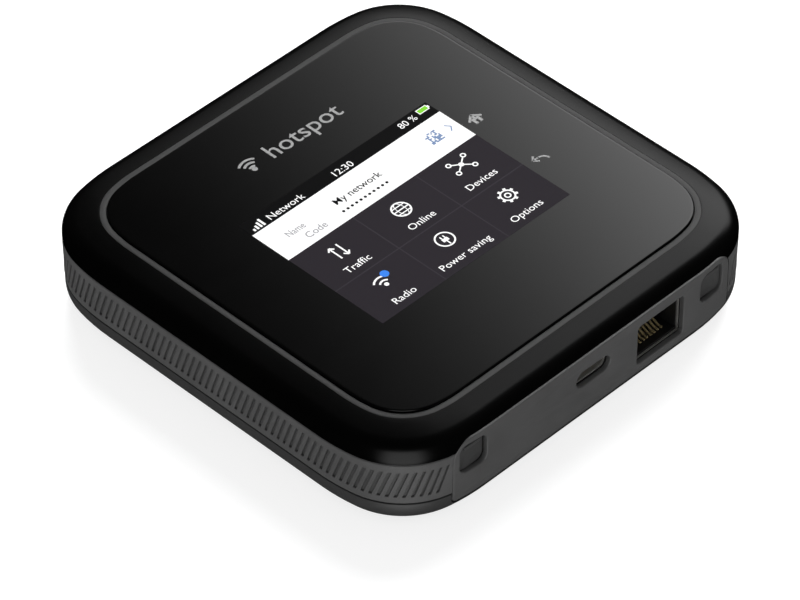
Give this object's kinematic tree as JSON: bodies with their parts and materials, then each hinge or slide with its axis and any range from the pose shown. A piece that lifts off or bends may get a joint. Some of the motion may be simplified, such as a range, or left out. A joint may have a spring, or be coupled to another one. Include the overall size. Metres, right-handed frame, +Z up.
{
  "type": "mobile hotspot",
  "caption": "Square pocket mobile router with a touch screen, ribbed side grip, Ethernet and USB-C sockets, plugged antenna sockets and a lift-off back over its battery.",
  "frame": {"origin": "centre of the underside, on the surface the router lies on", "axes": "+Z up out of the screen, +Y away from the socket side, +X to the right of the screen's reader"},
  "size_m": [0.105, 0.105, 0.0215],
  "materials": {
    "frame_coating": "satin soft-touch coating",
    "trim_metal": "dark satin anodised",
    "lens_glass": "polished, black border printed behind",
    "adhesive": "matt",
    "sensor_film": "clear film on black",
    "display_glass": "lit picture",
    "pressed_steel": "pressed sheet",
    "flex_film": "amber film",
    "connector_plastic": "moulded",
    "grip_plastic": "fine moulded texture",
    "panel_plastic": "smooth satin",
    "chassis_plastic": "glass-filled moulding",
    "cover_plastic": "fine moulded texture",
    "circuit_board": "solder mask",
    "chip_resin": "moulded resin",
    "tinned_steel": "tinned sheet",
    "thermal_pad": "soft pad",
    "spreader_metal": "rolled sheet",
    "screw_steel": "zinc plated",
    "gold": "gold plated",
    "socket_metal": "plated",
    "insulator": "white",
    "cap_rubber": "matt",
    "battery_film": "wrapped film",
    "foam": "closed-cell foam",
    "card_plastic": "white card",
    "antenna_film": "printed copper on film"
  },
  "bodies": {
    "case": {"antenna_insulator_left": "insulator", "antenna_insulator_right": "insulator", "antenna_pin_left": "gold", "antenna_pin_right": "gold", "antenna_socket_left": "socket_metal", "antenna_socket_right": "socket_metal", "battery_connector": "connector_plastic", "battery_contacts": "gold", "board_screws": "screw_steel", "case_screws": "screw_steel", "chassis": "chassis_plastic", "cover_lens": "lens_glass", "display_bracket": "pressed_steel", "display_connector": "connector_plastic", "display_flex": "flex_film", "display_module": "display_glass", "grip_band": "grip_plastic", "heat_spreader": "spreader_metal", "lens_adhesive": "adhesive", "lens_trim": "trim_metal", "main_board": "circuit_board", "memory_chip": "chip_resin", "modem_chip": "chip_resin", "modem_shield": "tinned_steel", "modem_thermal_pad": "thermal_pad", "port_panel": "panel_plastic", "power_chip": "chip_resin", "power_switch": "tinned_steel", "processor_chip": "chip_resin", "rear_antenna_left": "antenna_film", "rear_antenna_right": "antenna_film", "reset_switch": "tinned_steel", "rj45_contacts": "gold", "rj45_housing": "connector_plastic", "rj45_shell": "tinned_steel", "side_antenna_left": "antenna_film", "side_antenna_right": "antenna_film", "sim_socket": "tinned_steel", "top_frame": "frame_coating", "touch_sensor": "sensor_film", "usb_c_contacts": "gold", "usb_c_shell": "tinned_steel", "usb_c_tongue": "connector_plastic", "wifi_chip": "chip_resin", "wifi_shield": "tinned_steel", "wifi_thermal_pad": "thermal_pad"},
    "back_cover": {"back_cover": "cover_plastic", "battery_foam": "foam"},
    "battery": {"battery_pack": "battery_film", "battery_pads": "gold"},
    "antenna_cover_left": {"antenna_cover_left": "cap_rubber"},
    "antenna_cover_right": {"antenna_cover_right": "cap_rubber"},
    "power_button": {"power_button": "grip_plastic"},
    "reset_button": {"reset_button": "cover_plastic"},
    "sim_card": {"sim_card": "card_plastic"}
  },
  "joints": [
    {"name": "case_lift", "type": "slide", "parent": "back_cover", "child": "case", "axis": [0, 0, 1], "range_m": [0, 0.014]},
    {"name": "battery_drop", "type": "slide", "parent": "case", "child": "battery", "axis": [0, 0, -1], "range_m": [0, 0.007]},
    {"name": "antenna_cover_left_pull", "type": "slide", "parent": "case", "child": "antenna_cover_left", "axis": [0, -1, 0], "range_m": [0, 0.008]},
    {"name": "antenna_cover_right_pull", "type": "slide", "parent": "case", "child": "antenna_cover_right", "axis": [0, -1, 0], "range_m": [0, 0.008]},
    {"name": "power_press", "type": "slide", "parent": "case", "child": "power_button", "axis": [0, -1, 0], "range_m": [0, 0.0004], "stiffness_N_per_m": 600},
    {"name": "reset_press", "type": "slide", "parent": "case", "child": "reset_button", "axis": [0, 0, 1], "range_m": [0, 0.0003], "stiffness_N_per_m": 600},
    {"name": "sim_slide", "type": "slide", "parent": "case", "child": "sim_card", "axis": [-1, 0, 0], "range_m": [0, 0.01]}
  ],
  "couplings": [
    {"joint": "battery_drop", "follows": "case_lift", "ratio": 0.5}
  ]
}
